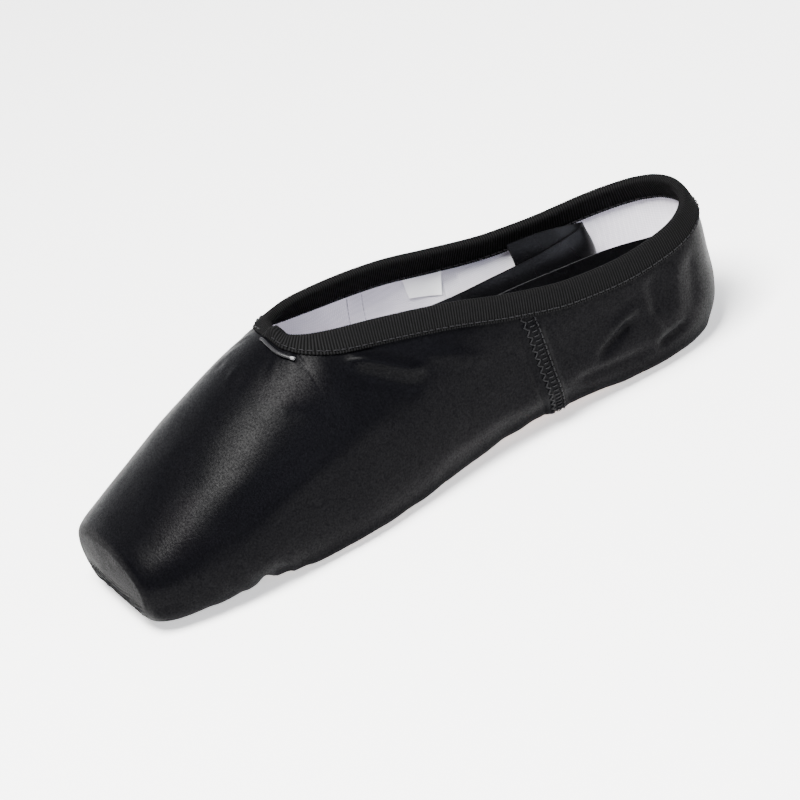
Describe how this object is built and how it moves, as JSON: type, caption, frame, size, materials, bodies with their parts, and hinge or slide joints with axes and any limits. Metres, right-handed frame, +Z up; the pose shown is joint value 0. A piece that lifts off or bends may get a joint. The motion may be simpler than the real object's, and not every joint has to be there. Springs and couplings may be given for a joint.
{
  "type": "pointe shoe",
  "caption": "Satin pointe shoe with a flat toe platform, a low bound collar, tucked ribbons and a stitched leather sole.",
  "frame": {"origin": "centre of the footprint box, on the floor that the sole stands on", "axes": "+Z up, toe to -Y and heel to +Y, +X the side that the picture shows"},
  "size_m": [0.0778, 0.2427, 0.0711],
  "materials": {
    "satin": "sheen",
    "sole_leather": "matte",
    "lining_cotton": "matte",
    "grosgrain_tape": "ribbed",
    "elastic_cord": "matte",
    "ribbon_satin": "sheen"
  },
  "bodies": {
    "root": {"upper": "satin", "outsole": "sole_leather", "insole": "lining_cotton", "binding": "grosgrain_tape", "drawstring_tail": "elastic_cord", "ribbon_far": "ribbon_satin", "ribbon_near": "ribbon_satin"}
  },
  "joints": []
}
